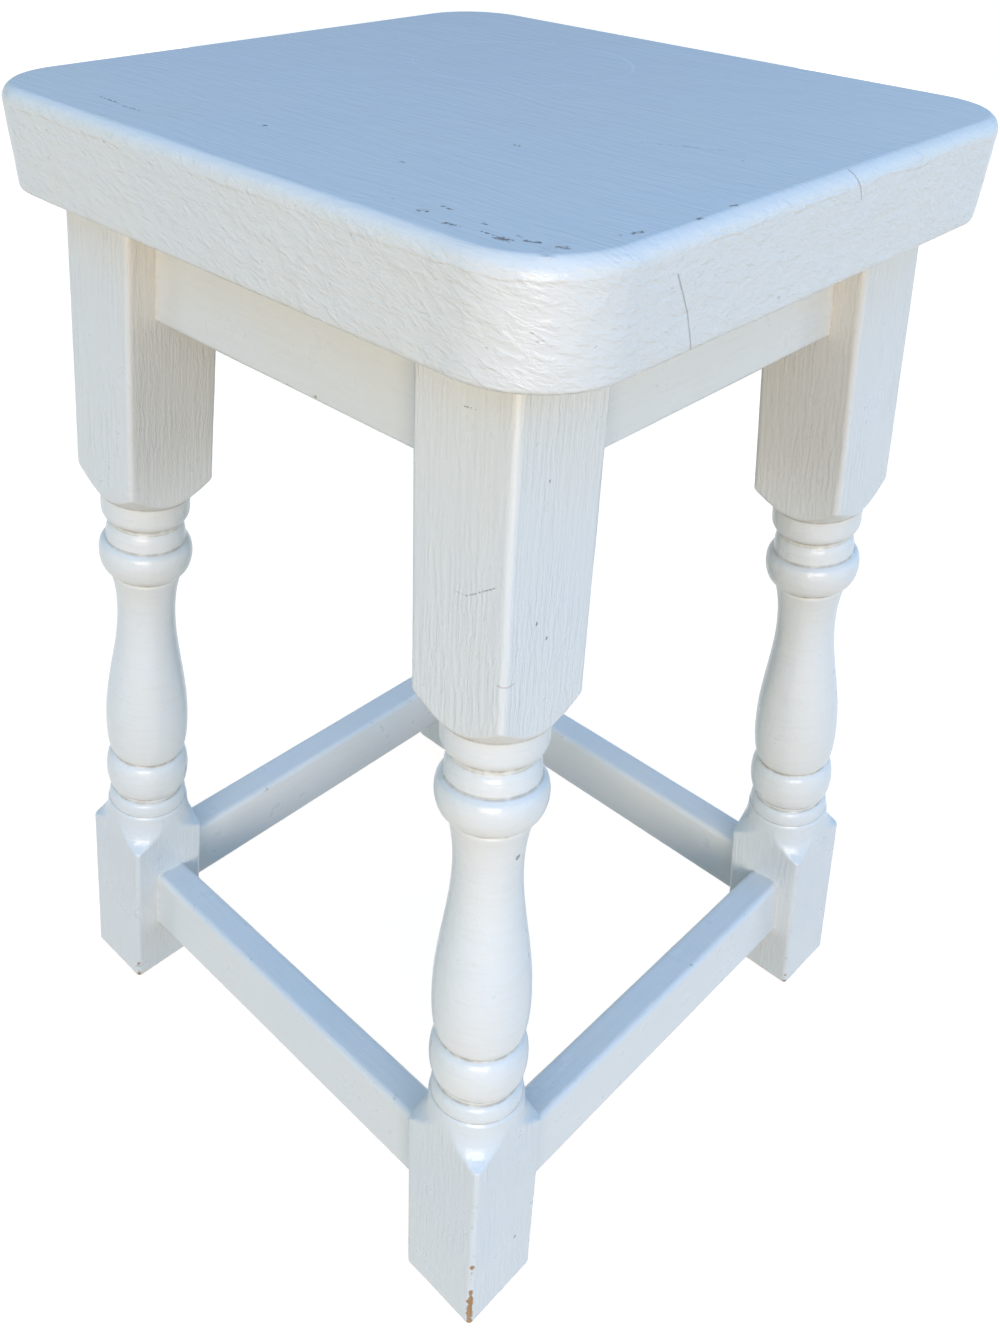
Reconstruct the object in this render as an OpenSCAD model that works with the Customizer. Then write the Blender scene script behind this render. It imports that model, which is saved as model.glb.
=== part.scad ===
// Square four-legged joined stool: splayed turned legs, aprons, low stretchers
// and a thick glued-up seat. Millimetres, +Z up, origin on the floor under the
// middle of the seat. Front is -Y, right is +X.

/* [Seat] */
// Seat size from left to right
seat_w = 261; // [246:1:280]
// Seat size from front to back
seat_d = 247.4; // [240:0.2:280]
// Seat thickness
seat_t = 32.8; // [28:0.2:38]
// Height of the seat's underside above the floor
under_z = 413.2; // [400:0.2:430]
// Radius of the seat's corners in plan
corner_r = 30; // [20:1:40]
// Radius of the rounded-over top edge
top_edge_r = 5; // [3:0.5:8]
// Radius of the eased bottom edge
bottom_edge_r = 1.5; // [1:0.25:2.5]
// How far the seat sits off the frame's middle, to the left and to the front
seat_off = 0.9; // [0:0.1:1.5]
// Diameter of the dowels in the seat's edge joints
dowel_d = 8; // [6:1:10]
// Length of those dowels
dowel_len = 36; // [28:2:40]

/* [Legs] */
// Square stock of the legs
stock = 39.6; // [39.6:0.2:42]
// Rounding of the legs' long edges
arris_r = 2.2; // [1.5:0.1:3]
// Distance from the centre to a leg's outer face at the floor
foot_reach = 147.4; // [145:0.2:150]
// Splay of each leg, seen square on to a side
splay = 5.4; // [5:0.1:5.8]
// Top of the lower square block, measured up the leg
low_block = 98; // [92:1:98]
// Bottom of the upper square block, measured up the leg
high_block = 303.5; // [302:0.5:308]
// Radius of the upper bead
bead_hi_r = 19.7; // [18.5:0.1:19.7]
// Radius of the lower bead
bead_lo_r = 19.6; // [18.5:0.1:19.6]
// Largest radius of the vase
vase_r = 19.1; // [18:0.1:19.4]
// Smallest radius of the neck above the vase
neck_r = 12.75; // [11.5:0.25:14]
// Radius of the collar under the upper block
collar_r = 18.3; // [17.5:0.1:19]

/* [Rails] */
// Thickness of the aprons and stretchers
rail_t = 16.8; // [15:0.2:18]
// Rounding of the rails' long edges
rail_edge_r = 2; // [1:0.25:3]
// Height of the aprons below the seat
apron_h = 42.8; // [38:0.2:50]
// Height of the stretchers' section
stretcher_h = 38.4; // [34:0.2:42]
// Height of the middle of the front and back stretchers above the floor
stretcher_z = 54; // [50:0.2:56]
// How much higher the side stretchers sit
side_up = 1.5; // [0:0.1:3]
// How far the front and back stretchers are set in from the legs' middle
front_in = 1.1; // [0:0.1:1.5]
// How far the side stretchers are set out from the legs' middle
side_out = 1.6; // [0:0.1:2]
// Length of the tenons on every rail
tenon_len = 13; // [10:0.5:13]
// Thickness of the tenons
tenon_t = 10; // [8:0.5:10]

/* [Fixings] */
// Depth of the corner blocks below the seat
block_h = 28; // [24:1:32]
// Distance from the leg's inner corner to the block's long face
block_depth = 25; // [22:1:30]
// Diameter of the screws that hold the seat
screw_d = 4; // [3.5:0.5:5]
// Length of those screws
screw_len = 45; // [40:1:48]

/* [Hidden] */
$fn = 64;

paint = [0.93, 0.91, 0.85];
pine = [0.83, 0.68, 0.46];
beech = [0.80, 0.62, 0.42];
steel = [0.66, 0.66, 0.64];

top_z = under_z + seat_t;
half = stock / 2;
// the leg leans along the diagonal; this is its true tilt
tilt = atan(sqrt(2) * tan(splay));
// the leg's axis crosses the floor at this distance from both centre lines
axis_at = foot_reach - half / cos(tilt);
board_w = seat_d / 3;
function stretcher_set(side) = side == 1 ? -side_out : front_in;
// the leg's inner corner under the seat, and the screws in from it
leg_in = foot_reach - under_z * tan(splay) - stock;
screw_at = leg_in - 9.2;
fit = 0.1;

// ---------- helpers ----------

// rectangle with rounded corners, centred
module round_rect(w, d, r) {
    union() {
        square([w - 2 * r, d], center = true);
        square([w, d - 2 * r], center = true);
        for (x = [-1, 1], y = [-1, 1])
            translate([x * (w / 2 - r), y * (d / 2 - r)]) circle(r = r);
    }
}

// a ring of quarter-round that rounds over the rim of a rounded slab
module edge_roll(w, d, rc, r) {
    for (a = [0, 1]) rotate([0, 0, 180 * a]) {
        translate([-(w / 2 - rc), -(d / 2 - r), 0]) rotate([0, 90, 0])
            cylinder(r = r, h = w - 2 * rc);
        translate([w / 2 - r, -(d / 2 - rc), 0]) rotate([-90, 0, 0])
            cylinder(r = r, h = d - 2 * rc);
        translate([w / 2 - rc, d / 2 - rc, 0])
            rotate_extrude(angle = 90) translate([rc - r, 0]) circle(r = r);
        translate([-(w / 2 - rc), d / 2 - rc, 0]) rotate([0, 0, 90])
            rotate_extrude(angle = 90) translate([rc - r, 0]) circle(r = r);
    }
}

// the whole seat before it is divided into boards
module seat_blank() {
    tr = top_edge_r;
    br = bottom_edge_r;
    union() {
        translate([0, 0, under_z + br])
            linear_extrude(seat_t - tr - br) round_rect(seat_w, seat_d, corner_r);
        translate([0, 0, under_z])
            linear_extrude(seat_t) round_rect(seat_w - 2 * tr, seat_d - 2 * tr, corner_r - tr);
        translate([0, 0, under_z])
            linear_extrude(seat_t / 2) round_rect(seat_w - 2 * br, seat_d - 2 * br, corner_r - br);
        translate([0, 0, top_z - tr]) edge_roll(seat_w, seat_d, corner_r, tr);
        translate([0, 0, under_z + br]) edge_roll(seat_w, seat_d, corner_r, br);
    }
}

// dowels across the two edge joints; grow > 0 makes the holes for them
module dowels(grow) {
    for (j = [-1, 1], x = [-80, 0, 80])
        translate([x - seat_off, j * board_w / 2 - seat_off - dowel_len / 2 - grow * 10, under_z + seat_t / 2])
            rotate([-90, 0, 0]) cylinder(d = dowel_d + grow, h = dowel_len + grow * 20);
}

// screws up through the corner blocks; the head sinks flush with the block
module screws(grow) {
    for (x = [-1, 1], y = [-1, 1])
        translate([x * screw_at, y * screw_at, under_z - block_h]) difference() {
            union() {
                cylinder(d = screw_d + grow, h = screw_len - 4 + grow * 50);
                cylinder(d1 = 2 * screw_d + grow, d2 = screw_d + grow, h = screw_d / 2 + 0.4);
                if (grow > 0) translate([0, 0, -1]) cylinder(d = 2 * screw_d + grow, h = 1.02);
                else translate([0, 0, screw_len - 4.01]) cylinder(d1 = screw_d, d2 = 0.8, h = 4.01);
            }
            // driver slot
            if (grow == 0) rotate([0, 0, 30 + 50 * x + 20 * y])
                translate([-2 * screw_d, -0.5, -0.1]) cube([4 * screw_d, 1, 1.3]);
        }
}

// one board of the seat, between two distances from front to back
module seat_board(y0, y1) {
    difference() {
        translate([-seat_off, -seat_off, 0]) intersection() {
            seat_blank();
            translate([-seat_w, y0, 0]) cube([2 * seat_w, y1 - y0, 2 * top_z]);
        }
        dowels(fit);
        screws(fit);
    }
}

// ---------- legs ----------

// points of an arc from (r0, s0) to (r1, s1) with its crown of radius rm at sm
function bead(s0, r0, sm, rm, s1, r1, n) = concat(
    [for (i = [0 : n]) [r0 + (rm - r0) * sin(90 * i / n), sm - (sm - s0) * cos(90 * i / n)]],
    [for (i = [1 : n]) [r1 + (rm - r1) * cos(90 * i / n), sm + (s1 - sm) * sin(90 * i / n)]]);

// the vase: a long S curve from its widest place up to the neck, then a flare
function vase(s0, r0, s1, r1, s2, r2, n) = concat(
    [for (i = [0 : n]) let (u = i / n)
        [r1 + (r0 - r1) * (1 + cos(180 * pow(u, 1.08))) / 2, s0 + (s1 - s0) * u]],
    [for (i = [1 : n / 2]) let (u = 2 * i / n)
        [r1 + (r2 - r1) * pow(u, 2.1), s1 + (s2 - s1) * u]]);

// turned outline as [radius, height up the leg]
function outline() = concat(
    [[0, -30], [60, -30], [60, low_block - 33.4], [half + 7, low_block],
     [half + 0.8, low_block + 6.3], [half - 0.4, low_block + 18.4], [half - 1.2, low_block + 19]],
    bead(117.3, 18.4, 119, 18.7, 124.8, 16.8, 5),
    [[16.5, 125.4], [16.5, 127.4]],
    bead(127.9, 16.7, 138.6, bead_lo_r, 149.4, 16.4, 8),
    [[16.1, 150.1]],
    [for (i = [0 : 8]) [16.4 + (vase_r - 16.4) * sin(90 * i / 8), 167.5 - 16.7 * cos(90 * i / 8)]],
    vase(167.5, vase_r, 234, neck_r, 253.8, 14.9, 24),
    [[14.3, 255.1]],
    bead(256, 15, 265.8, bead_hi_r, 271.8, 17.3, 8),
    [[16.8, 272.2]],
    [for (i = [0 : 5]) [15 + 1.7 * cos(90 * i / 5), 272.6 + 7.7 * sin(90 * i / 5)]],
    [[14.9, 282.6]],
    [for (i = [0 : 5]) [15.8 + (collar_r - 15.8) * sin(90 * i / 5), 287.5 - 4.3 * cos(90 * i / 5)]],
    [[collar_r, high_block - 8.5], [half + 7, high_block], [60, high_block + 33.2], [60, 480], [0, 480]]);

// put something modelled upright at the front right leg's place and lean
module lean() {
    translate([axis_at, -axis_at, 0])
        rotate([0, 0, 135]) rotate([0, tilt, 0]) rotate([0, 0, -135]) children();
}

// the space right of the inner side face of the front right leg, moved by off
module beyond_leg(off) {
    lean() translate([off - half, -200, -50]) cube([300, 400, 600]);
}

// front right leg with its four mortises
module leg() {
    difference() {
        intersection() {
            lean() translate([0, 0, -30]) linear_extrude(510) round_rect(stock, stock, arris_r);
            lean() rotate_extrude() polygon(outline());
            translate([0, -300, 0]) cube([300, 300, under_z]);
        }
        tenon_bar(stretcher_z, stretcher_set(0), stretcher_h - 13, 1);
        quarter(1) tenon_bar(stretcher_z + side_up, stretcher_set(1), stretcher_h - 13, 1);
        tenon_bar(apron_mid - 1.5, 0, apron_h - 15, 1);
        quarter(1) tenon_bar(apron_mid - 1.5, 0, apron_h - 15, 1);
    }
}

// turn something from the front to the right, back or left
module quarter(k) { rotate([0, 0, 90 * k]) children(); }

// ---------- rails ----------

apron_mid = under_z - apron_h / 2;

// carry a section from the middle of a front rail at height z, leaning with the legs,
// and set in from the legs' middle
module rail_place(z, in) {
    translate([0, in - (axis_at - z * tan(splay)), z]) rotate([-splay, 0, 0]) children();
}

// a long bar of tenon section, its ends inside the two legs; hole = 1 makes the mortises
module tenon_bar(z, in, h, hole) {
    difference() {
        rail_place(z, in) cube([600, tenon_t + hole * fit, h + hole * fit], center = true);
        beyond_leg(tenon_len + hole * 0.5);
        mirror([1, 0, 0]) beyond_leg(tenon_len + hole * 0.5);
    }
}

// front rail between two legs, with a tenon on each end
module rail(z, in, h, tz, th) {
    union() {
        difference() {
            rail_place(z, in) rotate([90, 0, 90]) translate([0, 0, -300])
                linear_extrude(600) round_rect(rail_t, h, rail_edge_r);
            beyond_leg(0);
            mirror([1, 0, 0]) beyond_leg(0);
        }
        tenon_bar(tz, in, th, 0);
    }
}

// a stretcher turned to its own side; side = 1 for the right and left ones
module stretcher(side) {
    z = stretcher_z + side * side_up;
    rail(z, stretcher_set(side), stretcher_h, z, stretcher_h - 13);
}

// the apron's section runs above the seat's underside and is planed off flush with it
module apron() {
    difference() {
        rail(apron_mid + 3, 0, apron_h + 6, apron_mid - 1.5, apron_h - 15);
        translate([-300, -300, under_z]) cube([600, 600, 50]);
    }
}

// ---------- corner blocks ----------

module corner_block() {
    // the long face is the line where x - y equals this
    face_sum = 2 * leg_in - block_depth * sqrt(2);
    difference() {
        translate([0, 0, under_z - block_h]) linear_extrude(block_h)
            polygon([[110, -110], [110, 110 - face_sum], [face_sum - 110, -110]]);
        // the inner faces of the two aprons
        for (k = [0, 1]) quarter(k) rail_place(apron_mid, 0)
            translate([-300, -100 + rail_t / 2, -60]) cube([600, 100, 120]);
        // the leg's inner corner
        lean() translate([-half - 0.3, -half - 60, 300]) cube([stock + 60, stock + 60.3, 150]);
        screws(fit);
    }
}

// ---------- nodes ----------

module seat_board_front() { color(paint) seat_board(-seat_d, -board_w / 2); }
module seat_board_middle() { color(paint) seat_board(-board_w / 2, board_w / 2); }
module seat_board_back() { color(paint) seat_board(board_w / 2, seat_d); }
module seat_dowels() { color(beech) dowels(0); }

module leg_front_right() { color(paint) leg(); }
module leg_front_left() { color(paint) mirror([1, 0, 0]) leg(); }
module leg_back_right() { color(paint) mirror([0, 1, 0]) leg(); }
module leg_back_left() { color(paint) mirror([0, 1, 0]) mirror([1, 0, 0]) leg(); }

module apron_front() { color(paint) apron(); }
module apron_right() { color(paint) quarter(1) apron(); }
module apron_back() { color(paint) quarter(2) apron(); }
module apron_left() { color(paint) quarter(3) apron(); }

module stretcher_front() { color(paint) stretcher(0); }
module stretcher_right() { color(paint) quarter(1) stretcher(1); }
module stretcher_back() { color(paint) quarter(2) stretcher(0); }
module stretcher_left() { color(paint) quarter(3) stretcher(1); }

module corner_block_front_right() { color(pine) corner_block(); }
module corner_block_front_left() { color(pine) mirror([1, 0, 0]) corner_block(); }
module corner_block_back_right() { color(pine) mirror([0, 1, 0]) corner_block(); }
module corner_block_back_left() { color(pine) rotate([0, 0, 180]) corner_block(); }

module seat_screws() { color(steel) screws(0); }

seat_board_front();
seat_board_middle();
seat_board_back();
seat_dowels();
leg_front_right();
leg_front_left();
leg_back_right();
leg_back_left();
apron_front();
apron_right();
apron_back();
apron_left();
stretcher_front();
stretcher_right();
stretcher_back();
stretcher_left();
corner_block_front_right();
corner_block_front_left();
corner_block_back_right();
corner_block_back_left();
seat_screws();
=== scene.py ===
import bpy, bmesh, math
import numpy as np
from mathutils import Vector, Matrix


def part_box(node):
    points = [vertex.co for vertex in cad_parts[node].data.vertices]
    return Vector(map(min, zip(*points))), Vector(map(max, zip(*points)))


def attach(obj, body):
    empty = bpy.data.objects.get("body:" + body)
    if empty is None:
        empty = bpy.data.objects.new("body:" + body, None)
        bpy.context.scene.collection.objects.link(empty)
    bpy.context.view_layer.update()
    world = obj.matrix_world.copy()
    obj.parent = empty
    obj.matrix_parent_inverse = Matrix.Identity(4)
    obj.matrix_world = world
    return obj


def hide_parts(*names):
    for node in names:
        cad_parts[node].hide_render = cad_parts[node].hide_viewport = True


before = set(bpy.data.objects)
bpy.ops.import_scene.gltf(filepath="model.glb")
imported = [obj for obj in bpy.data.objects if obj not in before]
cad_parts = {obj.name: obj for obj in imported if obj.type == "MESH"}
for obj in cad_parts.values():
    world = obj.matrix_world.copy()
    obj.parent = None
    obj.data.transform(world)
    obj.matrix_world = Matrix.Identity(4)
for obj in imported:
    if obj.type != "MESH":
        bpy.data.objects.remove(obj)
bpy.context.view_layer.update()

MM = 0.001

# ------------------------------------------------------------------ sizes, from the frame
seat_lo = Vector([min(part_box(n)[0][i] for n in ("seat_board_front", "seat_board_middle", "seat_board_back")) for i in range(3)])
seat_hi = Vector([max(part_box(n)[1][i] for n in ("seat_board_front", "seat_board_middle", "seat_board_back")) for i in range(3)])
SX, SY = (seat_hi.x - seat_lo.x) / 2, (seat_hi.y - seat_lo.y) / 2
SCX, SCY = (seat_hi.x + seat_lo.x) / 2, (seat_hi.y + seat_lo.y) / 2
TOP, UNDER = seat_hi.z, seat_lo.z
JOINT_Y = [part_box("seat_board_middle")[0].y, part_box("seat_board_middle")[1].y]
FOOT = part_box("leg_front_right")[1].x
STOCK = 39.6 * MM
HALF = STOCK / 2
SPLAY = math.radians(5.4)
TILT = math.atan(math.sqrt(2) * math.tan(SPLAY))
AXIS = FOOT - HALF / math.cos(TILT)

# ------------------------------------------------------------------ helpers

def vnoise(p, scale, seed=0):
    """Smooth value noise in -1..1 at the points p, with scale cells per metre. The same every run."""
    q = p * scale + seed * 17.31
    i = np.floor(q).astype(np.int64)
    f = q - i
    f = f * f * (3 - 2 * f)
    out = np.zeros(len(p))
    for dx in (0, 1):
        for dy in (0, 1):
            for dz in (0, 1):
                h = ((i[:, 0] + dx) * 374761393 + (i[:, 1] + dy) * 668265263 + (i[:, 2] + dz) * 1440662683 + seed * 974711) & 0xFFFFFFFF
                h = ((h ^ (h >> 13)) * 1274126177) & 0xFFFFFFFF
                h = (h ^ (h >> 16)) & 0xFFFFFFFF
                w = (f[:, 0] if dx else 1 - f[:, 0]) * (f[:, 1] if dy else 1 - f[:, 1]) * (f[:, 2] if dz else 1 - f[:, 2])
                out += w * (h / 2147483647.5 - 1)
    return out


def fbm(p, scale, seed=0, octaves=3, gain=0.5):
    out, a, t = np.zeros(len(p)), 1.0, 0.0
    for k in range(octaves):
        out += a * vnoise(p, scale * 2.03 ** k, seed + k)
        t += a
        a *= gain
    return out / t


def smooth(a, b, x):
    t = np.clip((x - a) / (b - a), 0, 1)
    return t * t * (3 - 2 * t)


def rings_to_mesh(name, rings, attrs, cap_start=True, cap_end=True, flip=False):
    """rings is an array (rows, n, 3) of closed loops; attrs maps a name to (rows, n) or (rows, n, 3)."""
    rows, n, _ = rings.shape
    verts = rings.reshape(-1, 3)
    vals = {k: v.reshape(rows * n, -1) for k, v in attrs.items()}
    j = np.arange(n)
    jn = (j + 1) % n
    quads = []
    for i in range(rows - 1):
        a, b = i * n, (i + 1) * n
        quads.append(np.stack([a + j, a + jn, b + jn, b + j], 1))
    faces = np.concatenate(quads)
    if flip:
        faces = faces[:, ::-1]
    faces = faces.tolist()
    extra = []
    for on, row, rev in ((cap_start, 0, True), (cap_end, rows - 1, False)):
        if on:
            c = len(verts) + len(extra)
            extra.append((row, rings[row].mean(0)))
            loop = (row * n + j, row * n + jn)
            a, b = (loop[1], loop[0]) if rev != flip else loop
            faces += [[int(x), int(y), c] for x, y in zip(a, b)]
    if extra:
        verts = np.concatenate([verts, np.array([e[1] for e in extra])])
        for k in vals:
            vals[k] = np.concatenate([vals[k], np.array([vals[k][e[0] * n:(e[0] + 1) * n].mean(0) for e in extra])])
    return mesh_object(name, verts, faces, vals)


def mesh_object(name, verts, faces, vals):
    me = bpy.data.meshes.new(name)
    me.from_pydata(verts.tolist(), [], faces)
    for k, v in vals.items():
        if v.shape[1] == 3:
            at = me.attributes.new(k, "FLOAT_VECTOR", "POINT")
            at.data.foreach_set("vector", v.astype(np.float32).ravel())
        else:
            at = me.attributes.new(k, "FLOAT", "POINT")
            at.data.foreach_set("value", v.astype(np.float32).ravel())
    me.validate()
    me.shade_smooth()
    ob = bpy.data.objects.new(name, me)
    bpy.context.scene.collection.objects.link(ob)
    return ob


def sharpen(ob, degrees=50):
    """Creases stay crisp where two faces meet at more than this angle."""
    bm = bmesh.new()
    bm.from_mesh(ob.data)
    for e in bm.edges:
        if len(e.link_faces) == 2 and e.calc_face_angle(0) > math.radians(degrees):
            e.smooth = False
    bm.to_mesh(ob.data)
    bm.free()


# ------------------------------------------------------------------ material nodes

class Tree:
    """A short way to write shader nodes."""

    def __init__(self, name):
        self.mat = bpy.data.materials.new(name)
        self.mat.use_nodes = True
        self.nt = self.mat.node_tree
        self.nt.nodes.clear()
        self.out = self.nt.nodes.new("ShaderNodeOutputMaterial")
        self.bsdf = self.nt.nodes.new("ShaderNodeBsdfPrincipled")
        self.nt.links.new(self.bsdf.outputs[0], self.out.inputs[0])

    def put(self, sock, v):
        if isinstance(v, bpy.types.NodeSocket):
            self.nt.links.new(v, sock)
        elif isinstance(v, (tuple, list)) and len(v) == 3 and len(sock.default_value) == 4:
            sock.default_value = (*v, 1)
        else:
            sock.default_value = v

    def attr(self, name, vector=False):
        n = self.nt.nodes.new("ShaderNodeAttribute")
        n.attribute_name = name
        return n.outputs["Vector" if vector else "Fac"]

    def math(self, op, a, b=0.0, c=0.0, clamp=False):
        n = self.nt.nodes.new("ShaderNodeMath")
        n.operation = op
        n.use_clamp = clamp
        for s, v in zip(n.inputs, (a, b, c)):
            self.put(s, v)
        return n.outputs[0]

    def vec(self, op, a, b=(0, 0, 0)):
        n = self.nt.nodes.new("ShaderNodeVectorMath")
        n.operation = op
        self.put(n.inputs[0], a)
        if op == "SCALE":
            self.put(n.inputs["Scale"], b)
        else:
            self.put(n.inputs[1], b)
        return n.outputs["Value" if op in ("LENGTH", "DOT_PRODUCT", "DISTANCE") else "Vector"]

    def noise(self, vec, scale=1.0, detail=2.0, rough=0.5, dist=0.0, colour=False):
        n = self.nt.nodes.new("ShaderNodeTexNoise")
        self.put(n.inputs["Vector"], vec)
        n.inputs["Scale"].default_value = scale
        n.inputs["Detail"].default_value = detail
        n.inputs["Roughness"].default_value = rough
        n.inputs["Distortion"].default_value = dist
        return n.outputs["Color" if colour else "Fac"]

    def voronoi(self, vec, scale, feature="F1", out="Distance", rand=1.0):
        n = self.nt.nodes.new("ShaderNodeTexVoronoi")
        n.feature = feature
        self.put(n.inputs["Vector"], vec)
        n.inputs["Scale"].default_value = scale
        n.inputs["Randomness"].default_value = rand
        return n.outputs[out]

    def ramp(self, v, lo, hi, a=0.0, b=1.0):
        """lo..hi becomes a..b, smoothly, and is held outside."""
        n = self.nt.nodes.new("ShaderNodeMapRange")
        n.interpolation_type = "SMOOTHSTEP"
        for s, x in zip(n.inputs[:5], (v, lo, hi, a, b)):
            self.put(s, x)
        return n.outputs[0]

    def mix(self, f, a, b, mode="MIX"):
        n = self.nt.nodes.new("ShaderNodeMix")
        n.data_type = "RGBA"
        n.blend_type = mode
        self.put(n.inputs[0], f)
        self.put(n.inputs[6], a)
        self.put(n.inputs[7], b)
        return n.outputs[2]

    def bump(self, height_mm, strength=1.0):
        n = self.nt.nodes.new("ShaderNodeBump")
        n.inputs["Strength"].default_value = strength
        n.inputs["Distance"].default_value = MM
        self.put(n.inputs["Height"], height_mm)
        return n.outputs[0]

    def add(self, *v):
        out = v[0]
        for x in v[1:]:
            out = self.math("ADD", out, x)
        return out

    def mul(self, *v):
        out = v[0]
        for x in v[1:]:
            out = self.math("MULTIPLY", out, x)
        return out

    def segment(self, p, a, b, width, soft=0.5, dims=(0, 1)):
        """1 within width of the line from a to b in two of p's axes, 0 away from it. Metres."""
        sep = self.nt.nodes.new("ShaderNodeSeparateXYZ")
        self.put(sep.inputs[0], p)
        u, v = sep.outputs[dims[0]], sep.outputs[dims[1]]
        dx, dy = b[0] - a[0], b[1] - a[1]
        l2 = dx * dx + dy * dy
        pu, pv = self.math("SUBTRACT", u, a[0]), self.math("SUBTRACT", v, a[1])
        t = self.math("DIVIDE", self.add(self.mul(pu, dx), self.mul(pv, dy)), l2, clamp=True)
        qu = self.math("SUBTRACT", pu, self.mul(t, dx))
        qv = self.math("SUBTRACT", pv, self.mul(t, dy))
        d = self.math("SQRT", self.add(self.mul(qu, qu), self.mul(qv, qv)))
        return self.ramp(d, width * (1 + soft), width * (1 - soft) * 0.5, 0.0, 1.0)


PAINT = (0.800, 0.792, 0.752)
PAINT_WARM = (0.790, 0.755, 0.660)
PAINT_COOL = (0.775, 0.785, 0.775)
DIRT_AND_SHADE_BROWN = (0.34, 0.29, 0.21)
SPECK = (0.13, 0.085, 0.05)
GROOVE = (0.30, 0.24, 0.16)
SCRATCHES = ((85.4, 83.9, 90.3, 85.3), (119.5, 67.5, 122.6, 65.3), (111.8, 107.6, 118.3, 106.5), (119.2, 27.7, 127.2, 25.3), (116.0, -51.3, 117.2, -49.9))
BARE = (0.34, 0.155, 0.05)
BARE_PALE = (0.55, 0.32, 0.14)


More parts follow.
